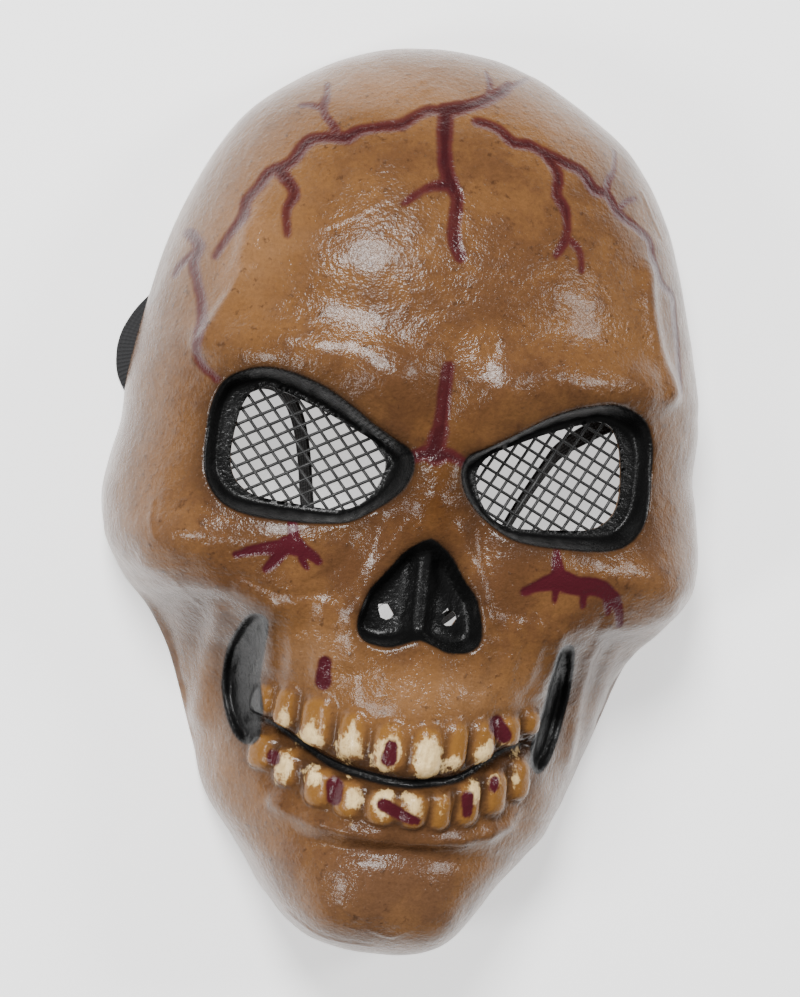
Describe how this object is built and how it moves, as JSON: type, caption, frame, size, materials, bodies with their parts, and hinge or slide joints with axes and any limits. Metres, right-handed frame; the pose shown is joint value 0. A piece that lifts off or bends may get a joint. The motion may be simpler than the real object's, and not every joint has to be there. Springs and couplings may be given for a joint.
{
  "type": "skull mask",
  "caption": "Rigid full-face skull mask for costume wear: a thin open-backed shell with brow, sockets, nose, teeth and jaw, netted eye holes and a woven elastic strap",
  "frame": {"origin": "the middle of the mask's rectangle seen from the front, at the height of the rim that it rests on", "axes": "+X to the wearer's left, +Y up the face to the crown, +Z out of the face, away from the wearer"},
  "size_m": [0.18, 0.2703, 0.0778],
  "materials": {
    "bone_plastic": "stained and clear coated",
    "eye_net": "black net",
    "elastic": "black woven elastic"
  },
  "bodies": {
    "root": {"mask_shell": "bone_plastic", "eye_net_left": "eye_net", "eye_net_right": "eye_net", "elastic_strap": "elastic"}
  },
  "joints": []
}
